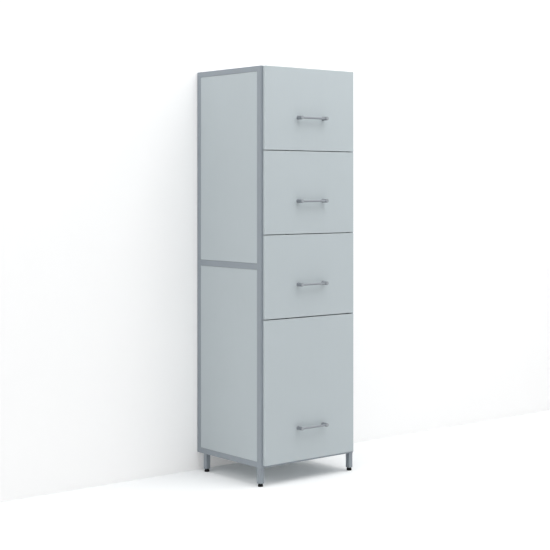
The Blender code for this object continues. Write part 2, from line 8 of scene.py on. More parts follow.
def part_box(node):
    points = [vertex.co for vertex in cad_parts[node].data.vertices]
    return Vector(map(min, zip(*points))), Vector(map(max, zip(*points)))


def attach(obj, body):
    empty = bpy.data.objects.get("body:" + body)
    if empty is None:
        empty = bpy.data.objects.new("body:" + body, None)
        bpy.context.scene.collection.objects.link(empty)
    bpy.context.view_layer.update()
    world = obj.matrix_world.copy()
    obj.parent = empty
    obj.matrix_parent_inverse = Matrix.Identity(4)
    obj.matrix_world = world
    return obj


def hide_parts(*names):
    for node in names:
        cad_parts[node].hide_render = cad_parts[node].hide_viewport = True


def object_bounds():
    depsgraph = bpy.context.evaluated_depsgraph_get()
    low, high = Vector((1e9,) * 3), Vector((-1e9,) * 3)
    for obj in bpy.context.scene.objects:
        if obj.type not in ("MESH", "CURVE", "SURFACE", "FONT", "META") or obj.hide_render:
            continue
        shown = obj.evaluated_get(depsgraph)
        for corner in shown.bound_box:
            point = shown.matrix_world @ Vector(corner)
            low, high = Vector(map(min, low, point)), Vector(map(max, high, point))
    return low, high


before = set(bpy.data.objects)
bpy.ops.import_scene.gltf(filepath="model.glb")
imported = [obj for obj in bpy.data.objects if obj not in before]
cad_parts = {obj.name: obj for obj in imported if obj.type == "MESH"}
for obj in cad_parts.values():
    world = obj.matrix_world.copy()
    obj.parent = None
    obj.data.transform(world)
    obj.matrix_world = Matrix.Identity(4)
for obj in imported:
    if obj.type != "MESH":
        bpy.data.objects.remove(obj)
cad_low, cad_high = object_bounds()

HANDS = ("left", "right")
WAYS = (-1, 1)
SIDES = tuple(zip(HANDS, WAYS))
ENDS = ("front", "rear")
DRAWERS = (1, 2, 3, 4)

# Camera: place in metres, turn in degrees, lens and sensor in millimetres
CAMERA_PLACE = (-4.2370, -5.1379, 1.4335)
CAMERA_TURN = 39.36
CAMERA_LENS = 86.30
CAMERA_SENSOR = 36
CAMERA_SHIFT = (0.0002, -0.1600)

# Light: each lamp's name, place, size in metres and power in watts
WORLD_STRENGTH = 0.36
WORLD_TINT = (0.985, 0.995, 1.0)
LIGHT_AIM = (0, 0, 1.2)
LIGHTS = (
    ("key_light", (1.8, -3.0, 3.3), 2.0, 16),
    ("top_light", (0, -2.0, 5.5), 4.0, 152),
    ("left_light", (-4.5, -0.6, 4.0), 2.5, 58),
    ("right_light", (3.6, -1.6, 4.0), 2.5, 42),
)

# Stage: sizes, and the glow that the eye sees on wall and floor, more of it far away
STAGE_REACH = 14.0
WALL_HEIGHT = 9.0
WALL_GAP = 0.003
WINDOW_INSET = 0.004
STAGE_WHITE = 0.90
FAR_START = 3.0
FAR_END = 7.0
FAR_LIFT = 5.5
WALL_LIFT = (0.185, 0.185, 0.185)
FLOOR_LIFT = (0.111, 0.120, 0.124)

# Colours, linear
FRAME_PAINT = (0.297, 0.334, 0.371)
FRAME_PRIMER = (0.431, 0.468, 0.495)
LAMINATE = (0.500, 0.555, 0.578)
# Edge bands: the boards' colour painted lighter, painted light that makes up for the shade falling on
# the board edges
LAMINATE_BAND_PAINTED_LIGHTER = (0.596, 0.656, 0.679)
BAND_GLUE = (0.275, 0.303, 0.321)
TRAY_PAINT = (0.60, 0.635, 0.65)
TRAY_BARE = (0.42, 0.44, 0.45)
HANDLE_LACQUER = (0.240, 0.259, 0.284)
# Painted highlight: the paler colour of the front-facing cap ends
HANDLE_CAP_PAINTED_HIGHLIGHT = (0.339, 0.362, 0.390)
ZINC = (0.62, 0.63, 0.64)
ZINC_DULL = (0.46, 0.47, 0.48)
STEEL = (0.78, 0.78, 0.79)
CAGE_STEEL = (0.50, 0.50, 0.49)
FOOT_BLACK = (0.004, 0.004, 0.0042)
DUST = (0.022, 0.022, 0.021)
PLUG_GREY = (0.248, 0.275, 0.303)

# Finishes: roundings, noise scales, widths of marks, depths of the relief, roughness and sheen
EDGE_RADIUS = 0.0008
BOARD_EDGE_RADIUS = 0.00064
SHEET_EDGE_RADIUS = 0.0004
PEEL_SCALE = 420
SPECK_SCALE = 1500
CLOUD_SCALE = 2.6
PEARL_SCALE = 900
SPANGLE_SCALE = 110
BAND_WIDTH = 0.0010
GLUE_WIDTH = 0.00015
WELD_MARK_WIDTH = 0.0022
WELD_MARK_WANDER = 0.0012
WELD_MARK_END = 0.001
SCUFF_RISE = 0.002
CAP_HIGHLIGHT_EDGE = 0.001
PAINT_RELIEF = 0.00010
BOARD_RELIEF = 0.00006
TRAY_RELIEF = 0.00008
ZINC_RELIEF = 0.00004
LACQUER_RELIEF = 0.00003
PLASTIC_RELIEF = 0.00006
STEEL_RELIEF = 0.00001
FRAME_ROUGHNESS = 0.44
BALL_ROUGHNESS = 0.12
CAGE_ROUGHNESS = 0.38
PLUG_SHEEN = 0.4
FOOT_SHEEN = 0.15

# Edges sharper than this stay sharp, in degrees: turned pieces, and what a recipe makes
SHARP_ANGLE = 32
BAKED_SHARP_ANGLE = 40

# Handles: the solid's rose gives the place of the posts
SOLID_ROSE_RADIUS = 0.011
ROSE_RADIUS = 0.0100
ROSE_THICKNESS = 0.0012
ROSE_ROUNDING = 0.0005
POST_RADIUS = 0.0090
POST_ROUNDING = 0.0012
COVE = 0.0004
CAP_GROOVE_RADIUS = 0.0066
CAP_GROOVE = 0.0005
BAR_RADIUS = 0.0052
BAR_DROP = 0.0006
BAR_SETBACK = 0.008
HANDLE_SCREW_RADIUS = 0.002
POST_SIDES = 64
BAR_SIDES = 40
ARC_STEPS = 5

# Levelling feet
FOOT_PAD_RIM = 0.0065
FOOT_TOP = 0.0145
FOOT_NECK = 0.006
FOOT_EDGE = 0.0007
STUD_RADIUS = 0.004
THREAD_PITCH = 0.00125
THREAD_DEPTH = 0.00055
THREAD_SIDES = 24
THREAD_ROWS_PER_TURN = 4
FOOT_SIDES = 64
DOME_STEPS = 9
STUD_END_SHARE = 0.85

# Screws and rivets
HEAD_SIDES = 20
HEAD_STEPS = 3
HEAD_DRAW_IN = 0.42
HEAD_CURVE = 2.5
SPIN_SEED = 7
SCREW_RADIUS = 0.0040
SCREW_HEIGHT = 0.0022
RECESS_WIDTH = 0.0009
RECESS_REACH = 0.0022
RECESS_DEPTH = 0.0012
NO_RECESS = 0.00001
FLAT_SCREW_RADIUS = 0.0034
FLAT_SCREW_HEIGHT = 0.0005
RIVET_RADIUS = 0.0032
RIVET_HEIGHT = 0.0011
BACK_SCREW_INSET = 0.012
BACK_SCREW_RADIUS = 0.0034
BACK_SCREW_HEIGHT = 0.0008
BACK_SCREW_PITCH = 0.180
FRONT_SCREW_INSET = 0.050
RUNNER_SHEET = 0.0012
INNER_HOLE_SHARES = (0.08, 0.45, 0.90)

# Balls of the runners and their cages
OUTER_BALL_RADIUS = 0.00232
INNER_BALL_RADIUS = 0.0020
OUTER_BALL_RISE = 0.01885
INNER_BALL_RISE = 0.01310
OUTER_BALL_DEPTH = 0.0048
INNER_BALL_DEPTH = 0.0073
BALL_PITCH = 0.0115
CAGE_END = 0.012
CAGE_WIDTH = 0.0052
CAGE_THICKNESS = 0.0006
POCKET_TUBE = 0.0004
BALL_SUBDIVISIONS = 2
POCKET_SIDES = 14
POCKET_TUBE_SIDES = 5

# Weld beads
BEAD_RADIUS = 0.0013
BEAD_STEP = 0.0006
BEAD_RIPPLE = 0.0022
BEAD_NOISE_SCALE = 260.0
BEAD_SIDES = 8
LEG_CORNER = 0.002


class Value:
    """A socket of a node tree that takes part in Python sums."""

    def __init__(self, tree, socket):
        self.tree = tree
        self.socket = socket

    def __add__(self, other):
        return self.tree.math("ADD", self, other)

    def __radd__(self, other):
        return self.tree.math("ADD", other, self)

    def __sub__(self, other):
        return self.tree.math("SUBTRACT", self, other)

    def __rsub__(self, other):
        return self.tree.math("SUBTRACT", other, self)

    def __mul__(self, other):
        return self.tree.math("MULTIPLY", self, other)

    def __rmul__(self, other):
        return self.tree.math("MULTIPLY", other, self)

    def __truediv__(self, other):
        return self.tree.math("DIVIDE", self, other)

    def __rtruediv__(self, other):
        return self.tree.math("DIVIDE", other, self)

    def __pow__(self, other):
        return self.tree.math("POWER", self, other)

    def __abs__(self):
        return self.tree.math("ABSOLUTE", self)

    def least(self, other):
        return self.tree.math("MINIMUM", self, other)

    def most(self, other):
        return self.tree.math("MAXIMUM", self, other)

    def sine(self):
        return self.tree.math("SINE", self)

    def rise(self, low, high):
        """0 up to low and 1 from high on, smooth between them."""
        inputs = {"Value": self, "From Min": low, "From Max": high}
        return self.tree.node("ShaderNodeMapRange", {"interpolation_type": "SMOOTHSTEP"}, inputs)[0]

    def fall(self, low, high):
        """1 up to low and 0 from high on."""
        return 1 - self.rise(low, high)


class Made:
    """A node that was added, whose outputs are read by name or number."""

    def __init__(self, tree, node):
        self.tree = tree
        self.node = node

    def __getitem__(self, key):
        return Value(self.tree, self.node.outputs[key])


class Tree:
    """A node tree with one method for all its nodes."""

    def __init__(self, nodes):
        self.nodes = nodes

    def node(self, kind, settings=None, inputs=None):
        node = self.nodes.nodes.new(kind)
        for name, value in (settings or {}).items():
            setattr(node, name, value)
        for key, value in (inputs or {}).items():
            for part in value if isinstance(value, list) else [value]:
                if isinstance(part, Value):
                    self.nodes.links.new(part.socket, node.inputs[key])
                else:
                    node.inputs[key].default_value = part
        return Made(self, node)

    def math(self, operation, *values):
        return self.node("ShaderNodeMath", {"operation": operation}, dict(enumerate(values)))[0]

    def vector(self, operation, *values):
        settings = {"operation": operation}
        return self.node("ShaderNodeVectorMath", settings, dict(enumerate(values)))

    def axes(self, vector):
        made = self.node("ShaderNodeSeparateXYZ", {}, {0: vector})
        return made[0], made[1], made[2]

    def joined(self, x, y, z):
        return self.node("ShaderNodeCombineXYZ", {}, {0: x, 1: y, 2: z})[0]


class Finish(Tree):
    """A material under one Principled shader, in Object coordinates."""

    def __init__(self, name):
        self.material = bpy.data.materials.new(name)
        self.material.use_nodes = True
        super().__init__(self.material.node_tree)
        self.shader = self.nodes.nodes["Principled BSDF"]
        self.place = self.node("ShaderNodeTexCoord")["Object"]
        self.x, self.y, self.z = self.axes(self.place)
        self.normal = self.node("ShaderNodeNewGeometry")["Normal"]

    def noise(self, scale, detail=2, stretch=None):
        """Noise about 0.5; stretch gives the pattern's length along each axis."""
        place = self.place
        if stretch:
            place = self.vector("MULTIPLY", place, tuple(1 / share for share in stretch))[0]
        inputs = {"Vector": place, "Scale": scale, "Detail": detail}
        return self.node("ShaderNodeTexNoise", {}, inputs)["Fac"]

    def cells(self, scale):
        """One random number for each crystal of a spangle."""
        inputs = {"Vector": self.place, "Scale": scale}
        colour = self.node("ShaderNodeTexVoronoi", {}, inputs)["Color"]
        return self.axes(colour)[0]

    def edges(self, radius):
        """The normal rounded at the edges, and how near an edge a point is."""
        soft = self.node("ShaderNodeBevel", {"samples": 6}, {"Radius": radius})["Normal"]
        along = self.vector("DOT_PRODUCT", soft, self.normal)["Value"]
        return soft, (1 - along).rise(0.01, 0.25)

    def toned(self, colour, tone):
        return self.node("ShaderNodeVectorMath", {"operation": "SCALE"}, {0: colour, 3: tone})[0]

    def mixed(self, share, first, second):
        """Colour that goes from the first to the second as share goes from 0 to 1."""
        sockets = {0: share}
        for key, colour in ((6, first), (7, second)):
            sockets[key] = colour if isinstance(colour, Value) else (*colour, 1.0)
        return self.node("ShaderNodeMix", {"data_type": "RGBA"}, sockets)[2]

    def facing(self, axis):
        """How far the surface faces along an axis, either way."""
        return abs(self.axes(self.normal)[axis])

    def strokes(self, scale, width, stretch):
        """Hairline scratches: thin lines where a stretched noise crosses its middle."""
        lines = abs(self.noise(scale, 1, stretch) - 0.5).fall(0, width)
        return lines * self.noise(scale / 5, 1).rise(0.55, 0.62)

    def bumped(self, height, depth, soft=None):
        """Normal of a relief: height in 0 to 1 times the depth in metres."""
        inputs = {"Strength": 1.0, "Distance": depth, "Height": height}
        if soft:
            inputs["Normal"] = soft
        return self.node("ShaderNodeBump", {}, inputs)[0]

    def set(self, **sockets):
        """Sets or links the shader's sockets, spaces written as underscores."""
        for name, value in sockets.items():
            socket = self.shader.inputs[name.replace("_", " ")]
            if isinstance(value, Value):
                self.nodes.links.new(value.socket, socket)
            elif isinstance(value, tuple):
                socket.default_value = (*value, 1.0)
            else:
                socket.default_value = value
        return self.material


def powder_coat(name, seams=()):
    """Baked powder paint: orange peel, specks, thin paint on the edges, ground welds."""
    paint = Finish(name)
    soft, edge = paint.edges(EDGE_RADIUS)
    clouds = paint.noise(CLOUD_SCALE, 3)
    specks = paint.noise(SPECK_SCALE, 1)
    peel = paint.noise(PEEL_SCALE, 1)
    weld = 0
    for y, low, high in seams:
        wander = (paint.noise(90, 1) - 0.5) * WELD_MARK_WANDER
        across = abs(paint.y - y + wander).fall(0, WELD_MARK_WIDTH)
        begun = paint.z.rise(low - WELD_MARK_END, low + WELD_MARK_END)
        weld = weld + across * begun * paint.z.fall(high - WELD_MARK_END, high)
    worn = edge * paint.noise(26, 3).rise(0.5, 0.68)
    tone = 0.99 + (clouds - 0.5) * 0.05 + (specks - 0.5) * 0.07 - weld * 0.03
    base = paint.mixed(worn * 0.5, paint.toned(FRAME_PAINT, tone), FRAME_PRIMER)
    relief = peel * 0.55 + specks * 0.15 + weld * (0.5 + paint.noise(500, 1))
    return paint.set(
        Base_Color=base,
        Roughness=FRAME_ROUGHNESS + (clouds - 0.5) * 0.10 + (specks - 0.5) * 0.08 - worn * 0.08,
        Normal=paint.bumped(relief, PAINT_RELIEF, soft),
        Specular_IOR_Level=0.45,
    )


def laminate(name, low, high):
    """Faced board: pearl grain on the faces, plastic bands with a glue line on the edges; the bands'
    colour is painted lighter than the faces, painted light against the shade on the board edges.
    """
    board = Finish(name)
    soft, edge = board.edges(BOARD_EDGE_RADIUS)
    size = high - low
    thin = min(range(3), key=lambda axis: size[axis])
    places = (board.x, board.y, board.z)
    rim = None
    for axis in range(3):
        if axis == thin:
            continue
        inward = (places[axis] - low[axis]).least(high[axis] - places[axis])
        rim = inward if rim is None else rim.least(inward)
    flat = board.facing(thin).rise(0.6, 0.8)
    edge_band_painted_lighter = (1 - flat).most(flat * rim.fall(BAND_WIDTH, BAND_WIDTH + GLUE_WIDTH))
    glue = flat * abs(rim - BAND_WIDTH).fall(0, GLUE_WIDTH)
    clouds = board.noise(CLOUD_SCALE, 2)
    fibres = board.noise(60, 2, (1, 1, 7))
    pearl = board.noise(PEARL_SCALE, 1)
    tone = 1 + (clouds - 0.5) * 0.035 + (fibres - 0.5) * 0.018 + (pearl - 0.5) * 0.035
    # Painted light: the edge bands are painted lighter than the faces, to make up for the shade on the
    # board edges
    base = board.mixed(edge_band_painted_lighter * 0.8, board.toned(LAMINATE, tone), LAMINATE_BAND_PAINTED_LIGHTER)
    base = board.mixed(glue * 0.55, base, BAND_GLUE)
    smudges = board.noise(9, 3).rise(0.52, 0.75)
    roughness = 0.50 + (pearl - 0.5) * 0.12 - smudges * 0.05 - edge_band_painted_lighter * 0.07
    relief = pearl * (1 - edge_band_painted_lighter) - glue * 0.8 + edge * 0.1
    return board.set(
        Base_Color=base,
        Roughness=roughness,
        Normal=board.bumped(relief, BOARD_RELIEF, soft),
        Specular_IOR_Level=0.40,
    )


def tray_paint(name, floor):
    """Light powder paint inside the drawers, scuffed on the tray's floor."""
    paint = Finish(name)
    soft, edge = paint.edges(SHEET_EDGE_RADIUS)
    clouds = paint.noise(4, 3)
    peel = paint.noise(PEEL_SCALE, 1)
    specks = paint.noise(SPECK_SCALE, 1)
    on_floor = paint.z.fall(floor + SCUFF_RISE, floor + 2 * SCUFF_RISE)
    lies_flat = paint.facing(2).rise(0.8, 0.95) * on_floor
    along, across = paint.strokes(14, 0.012, (1, 3, 1)), paint.strokes(17, 0.010, (4, 1, 1))
    scuffs = along.most(across) * lies_flat
    rubbed = edge * paint.noise(40, 2).rise(0.55, 0.7)
    tone = 0.99 + (clouds - 0.5) * 0.05 + (specks - 0.5) * 0.06
    base = paint.mixed((scuffs * 0.35).most(rubbed * 0.5), paint.toned(TRAY_PAINT, tone), TRAY_BARE)
    return paint.set(
        Base_Color=base,
        Roughness=0.42 + (clouds - 0.5) * 0.12 + (specks - 0.5) * 0.08 - scuffs * 0.12,
        Normal=paint.bumped(peel * 0.5 + specks * 0.2 - scuffs * 0.4, TRAY_RELIEF, soft),
    )


def zinc_plate(name, colour=ZINC, dull=ZINC_DULL):
    """Rolled, zinc-plated steel: spangle, marks along the rolling, dull patches."""
    metal = Finish(name)
    soft, edge = metal.edges(SHEET_EDGE_RADIUS)
    spangle = metal.cells(SPANGLE_SCALE)
    rolled = metal.noise(1400, 2, (1, 60, 1))
    patches = metal.noise(30, 3).rise(0.45, 0.7)
    tone = 0.97 + (spangle - 0.5) * 0.10 + (rolled - 0.5) * 0.16
    base = metal.mixed(patches * 0.4, metal.toned(colour, tone), dull)
    return metal.set(
        Base_Color=base,
        Metallic=1.0,
        Roughness=0.30 + (spangle - 0.5) * 0.10 + patches * 0.12 + (rolled - 0.5) * 0.15 - edge * 0.05,
        Normal=metal.bumped(rolled * 0.6 + spangle * 0.1, ZINC_RELIEF, soft),
    )


def satin_lacquer(name, tip):
    """Silver-grey lacquer: metal flakes, a polish where hands hold, and a painted highlight: the
    front-facing ends of the caps painted paler.
    """
    lacquer = Finish(name)
    flakes = lacquer.noise(2600, 1)
    clouds = lacquer.noise(35, 2)
    handled = lacquer.noise(12, 2).rise(0.45, 0.7)
    spun = lacquer.noise(1500, 1, (1, 0.25, 1))
    tone = 1 + (flakes - 0.5) * 0.16 + (clouds - 0.5) * 0.06
    # Painted highlight: faces at the posts' front tips, facing front, are painted paler than the lacquer
    painted_cap_highlight = lacquer.facing(1).rise(0.7, 0.95) * lacquer.y.fall(tip, tip + CAP_HIGHLIGHT_EDGE)
    return lacquer.set(
        Base_Color=lacquer.toned(lacquer.mixed(painted_cap_highlight, HANDLE_LACQUER, HANDLE_CAP_PAINTED_HIGHLIGHT), tone),
        Metallic=flakes * 0.4,
        Roughness=0.36 + (flakes - 0.5) * 0.12 - handled * 0.06 + (clouds - 0.5) * 0.06,
        Normal=lacquer.bumped(flakes * 0.3 + spun * 0.3, LACQUER_RELIEF),
        Coat_Weight=0.05 + handled * 0.08,
        Coat_Roughness=0.30,
    )


def moulded_plastic(name, colour, dust_top, sheen):
    """Spark-eroded plastic, dusty near the floor."""
    plastic = Finish(name)
    grain = plastic.noise(2200, 2)
    clouds = plastic.noise(60, 2)
    settled = plastic.z.fall(0, dust_top) * clouds.rise(0.35, 0.65)
    tone = 1 + (clouds - 0.5) * 0.2 + (grain - 0.5) * 0.2
    return plastic.set(
        Base_Color=plastic.mixed(settled * 0.25, plastic.toned(colour, tone), DUST),
        Roughness=0.48 + (grain - 0.5) * 0.2 + settled * 0.2,
        Normal=plastic.bumped(grain, PLASTIC_RELIEF),
        Specular_IOR_Level=sheen,
    )


def polished_steel(name, colour, roughness):
    """Hardened steel of balls and cages, with a film of grease."""
    steel = Finish(name)
    film = steel.noise(500, 2)
    marks = steel.noise(2500, 1)
    return steel.set(
        Base_Color=steel.toned(colour, 0.9 + film * 0.15),
        Metallic=1.0,
        Roughness=roughness + (film - 0.5) * 0.12,
        Normal=steel.bumped(marks, STEEL_RELIEF),
    )


def add_mesh(name, mesh):
    thing = bpy.data.objects.new(name, mesh)
    bpy.context.scene.collection.objects.link(thing)
    return thing


def mesh_from(name, bm, material=None):
    mesh = bpy.data.meshes.new(name)
    bmesh.ops.recalc_face_normals(bm, faces=bm.faces)
    bm.to_mesh(mesh)
    bm.free()
    if material:
        mesh.materials.append(material)
    mesh.shade_smooth()
    mesh.set_sharp_from_angle(angle=math.radians(SHARP_ANGLE))
    return mesh


def settle(piece, body, slot, *nodes):
    """The piece rides on a body and stands for these nodes, which it hides; slot is not used."""
    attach(piece, body)
    if nodes:
        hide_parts(*nodes)


def arc(centre, radius, start, end):
    """Points of (radius, height) on an arc, from one angle to another in degrees."""
    points = []
    for step in range(ARC_STEPS + 1):
        angle = math.radians(start + (end - start) * step / ARC_STEPS)
        points.append((centre[0] + radius * math.cos(angle), centre[1] + radius * math.sin(angle)))
    return points


def turn(bm, profile, sides, place):
    """Turns a profile of (radius, height) about Z, closed on the axis at both ends."""
    rings = []
    for radius, height in profile:
        if radius == 0:
            rings.append([bm.verts.new(place @ Vector((0, 0, height)))])
            continue
        ring = []
        for side in range(sides):
            angle = 2 * math.pi * side / sides
            point = Vector((radius * math.cos(angle), radius * math.sin(angle), height))
            ring.append(bm.verts.new(place @ point))
        rings.append(ring)
    for low, high in zip(rings, rings[1:]):
        for side in range(sides):
            after = (side + 1) % sides
            corners = [low[side % len(low)], low[after % len(low)]]
            corners += [high[after % len(high)], high[side % len(high)]]
            bm.faces.new(list(dict.fromkeys(corners)))


class Recipe(Tree):
    """A Geometry Nodes tree with named inputs, which ends in one painted mesh."""

    def __init__(self, name, **inputs):
        group = bpy.data.node_groups.new(name, "GeometryNodeTree")
        super().__init__(group)
        new_socket = group.interface.new_socket
        new_socket(name="Geometry", in_out="INPUT", socket_type="NodeSocketGeometry")
        new_socket(name="Geometry", in_out="OUTPUT", socket_type="NodeSocketGeometry")
        for label, kind in {**inputs, "Material": "Material"}.items():
            label = label.replace("_", " ")
            new_socket(name=label, in_out="INPUT", socket_type=f"NodeSocket{kind}")
        self.given = self.node("NodeGroupInput")

    def close(self, geometry):
        real = self.node("GeometryNodeRealizeInstances", {}, {0: geometry})[0]
        shaded = self.node("GeometryNodeSetShadeSmooth", {}, {0: real, 2: True})[0]
        inputs = {0: shaded, 2: self.given["Material"]}
        painted = self.node("GeometryNodeSetMaterial", {}, inputs)[0]
        self.node("NodeGroupOutput", {}, {0: painted})

    def bake(self, name, mesh, material, **values):
        """The tree's result on a mesh of points or paths, as a plain mesh object."""
        thing = add_mesh(name, mesh)
        modifier = thing.modifiers.new("recipe", "NODES")
        modifier.node_group = self.nodes
        values = {label.replace("_", " "): value for label, value in values.items()}
        values["Material"] = material
        for item in self.nodes.interface.items_tree:
            if item.in_out == "INPUT" and item.name in values:
                modifier[item.identifier] = values[item.name]
        graph = bpy.context.evaluated_depsgraph_get()
        baked = bpy.data.meshes.new_from_object(thing.evaluated_get(graph), depsgraph=graph)
        thing.modifiers.clear()
        thing.data = baked
        baked.name = name
        baked.set_sharp_from_angle(angle=math.radians(BAKED_SHARP_ANGLE))
        return thing


def screw_recipe():
    """Domed heads with a cross recess, one on each point, turned at random."""
    recipe = Recipe(
        "screw_heads",
        Head_radius="Float",
        Head_height="Float",
        Recess_reach="Float",
        Recess_width="Float",
        Recess_depth="Float",
    )
    given = recipe.given
    height = given["Head height"]
    inputs = {
        "Vertices": HEAD_SIDES,
        "Side Segments": HEAD_STEPS,
        "Radius": given["Head radius"],
        "Depth": height,
    }
    blank = recipe.node("GeometryNodeMeshCylinder", {}, inputs)[0]
    position = recipe.node("GeometryNodeInputPosition")[0]
    x, y, z = recipe.axes(position)
    up = z / height + 0.5
    drawn_in = 1 - HEAD_DRAW_IN * up ** HEAD_CURVE
    domed = recipe.joined(x * drawn_in, y * drawn_in, z + height / 2)
    head = recipe.node("GeometryNodeSetPosition", {}, {0: blank, 2: domed})[0]
    reach, width, depth = (given[f"Recess {word}"] for word in ("reach", "width", "depth"))
    cutters = []
    for size in ((reach * 2, width, depth * 2), (width, reach * 2, depth * 2)):
        block = recipe.node("GeometryNodeMeshCube", {}, {0: recipe.joined(*size)})[0]
        inputs = {0: block, 1: recipe.joined(0, 0, height)}
        cutters.append(recipe.node("GeometryNodeTransform", {}, inputs)[0])
    settings = {"operation": "DIFFERENCE", "solver": "EXACT"}
    cut = recipe.node("GeometryNodeMeshBoolean", settings, {0: head, 1: cutters})[0]
    settings = {"data_type": "FLOAT_VECTOR"}
    facing = recipe.node("GeometryNodeInputNamedAttribute", settings, {0: "facing"})[0]
    aim = recipe.node("FunctionNodeAlignRotationToVector", {"axis": "Z"}, {2: facing})[0]
    heads = recipe.node("GeometryNodeInstanceOnPoints", {}, {0: given[0], 2: cut, 5: aim})[0]
    inputs = {2: 0.0, 3: math.pi, 8: SPIN_SEED}
    spin = recipe.node("FunctionNodeRandomValue", {"data_type": "FLOAT"}, inputs)[1]
    inputs = {0: heads, 2: recipe.joined(0, 0, spin), 4: True}
    recipe.close(recipe.node("GeometryNodeRotateInstances", {}, inputs)[0])
    return recipe


def ball_recipe():
    """Balls at even steps along each path."""
    recipe = Recipe("ball_rows", Ball_radius="Float", Pitch="Float")
    paths = recipe.node("GeometryNodeMeshToCurve", {}, {0: recipe.given[0]})[0]
    inputs = {0: paths, "Length": recipe.given["Pitch"]}
    steps = recipe.node("GeometryNodeResampleCurve", {"mode": "LENGTH"}, inputs)[0]
    inputs = {"Radius": recipe.given["Ball radius"], "Subdivisions": BALL_SUBDIVISIONS}
    ball = recipe.node("GeometryNodeMeshIcoSphere", {}, inputs)[0]
    recipe.close(recipe.node("GeometryNodeInstanceOnPoints", {}, {0: steps, 2: ball})[0])
    return recipe


def cage_recipe():
    """A strip along each path, with a round pocket for each ball."""
    recipe = Recipe(
        "ball_cages", Ball_radius="Float", Pitch="Float", Width="Float", Thickness="Float", Tube="Float"
    )
    given = recipe.given
    paths = recipe.node("GeometryNodeMeshToCurve", {}, {0: given[0]})[0]
    level = recipe.node("GeometryNodeSetCurveNormal", {"mode": "Z_UP"}, {0: paths})[0]
    inputs = {"Width": given["Width"], "Height": given["Thickness"]}
    section = recipe.node("GeometryNodeCurvePrimitiveQuadrilateral", {}, inputs)[0]
    strip = recipe.node("GeometryNodeCurveToMesh", {}, {0: level, 1: section, "Fill Caps": True})[0]
    inputs = {0: paths, "Length": given["Pitch"]}
    steps = recipe.node("GeometryNodeResampleCurve", {"mode": "LENGTH"}, inputs)[0]
    inputs = {"Resolution": POCKET_SIDES, "Radius": given["Ball radius"] + given["Tube"] * 0.5}
    ring = recipe.node("GeometryNodeCurvePrimitiveCircle", {}, inputs)[0]
    inputs = {"Resolution": POCKET_TUBE_SIDES, "Radius": given["Tube"]}
    tube = recipe.node("GeometryNodeCurvePrimitiveCircle", {}, inputs)[0]
    pocket = recipe.node("GeometryNodeCurveToMesh", {}, {0: ring, 1: tube})[0]
    pockets = recipe.node("GeometryNodeInstanceOnPoints", {}, {0: steps, 2: pocket})[0]
    recipe.close(recipe.node("GeometryNodeJoinGeometry", {}, {0: [strip, pockets]})[0])
    return recipe


def bead_recipe():
    """A rippled weld bead along each path."""
    recipe = Recipe("weld_beads", Bead_radius="Float", Step="Float", Ripple="Float")
    given = recipe.given
    paths = recipe.node("GeometryNodeMeshToCurve", {}, {0: given[0]})[0]
    inputs = {0: paths, "Length": given["Step"]}
    steps = recipe.node("GeometryNodeResampleCurve", {"mode": "LENGTH"}, inputs)[0]
    index = recipe.node("GeometryNodeInputIndex")[0]
    waves = (index * given["Step"] / given["Ripple"] * 2 * math.pi).sine()
    inputs = {"Scale": BEAD_NOISE_SCALE, "Detail": 1.0}
    uneven = recipe.node("ShaderNodeTexNoise", {}, inputs)[0]
    inputs = {"Resolution": BEAD_SIDES, "Radius": 1.0}
    section = recipe.node("GeometryNodeCurvePrimitiveCircle", {}, inputs)[0]
    thick = given["Bead radius"] * (0.75 + waves * 0.12 + uneven * 0.4)
    inputs = {0: steps, 1: section, "Scale": thick}
    recipe.close(recipe.node("GeometryNodeCurveToMesh", {}, inputs)[0])
    return recipe


def points_mesh(name, places):
    """Loose points, each with the way that its screw faces."""
    mesh = bpy.data.meshes.new(name)
    mesh.from_pydata([place for place, facing in places], [], [])
    attribute = mesh.attributes.new("facing", "FLOAT_VECTOR", "POINT")
    for item, (place, facing) in zip(attribute.data, places):
        item.vector = facing
    return mesh


def paths_mesh(name, paths):
    """Loose edges along each path of points."""
    mesh = bpy.data.meshes.new(name)
    points, edges = [], []
    for path in paths:
        first = len(points)
        points += path
        edges += [(first + index, first + index + 1) for index in range(len(path) - 1)]
    mesh.from_pydata(points, edges, [])
    return mesh


def middle(node):
    low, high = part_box(node)
    return (low + high) / 2


def handle_posts(number):
    """Half the spacing of a handle's posts, and their level."""
    low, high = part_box(f"drawer_handle_{number}")
    return high.x - SOLID_ROSE_RADIUS, (low.z + high.z) / 2


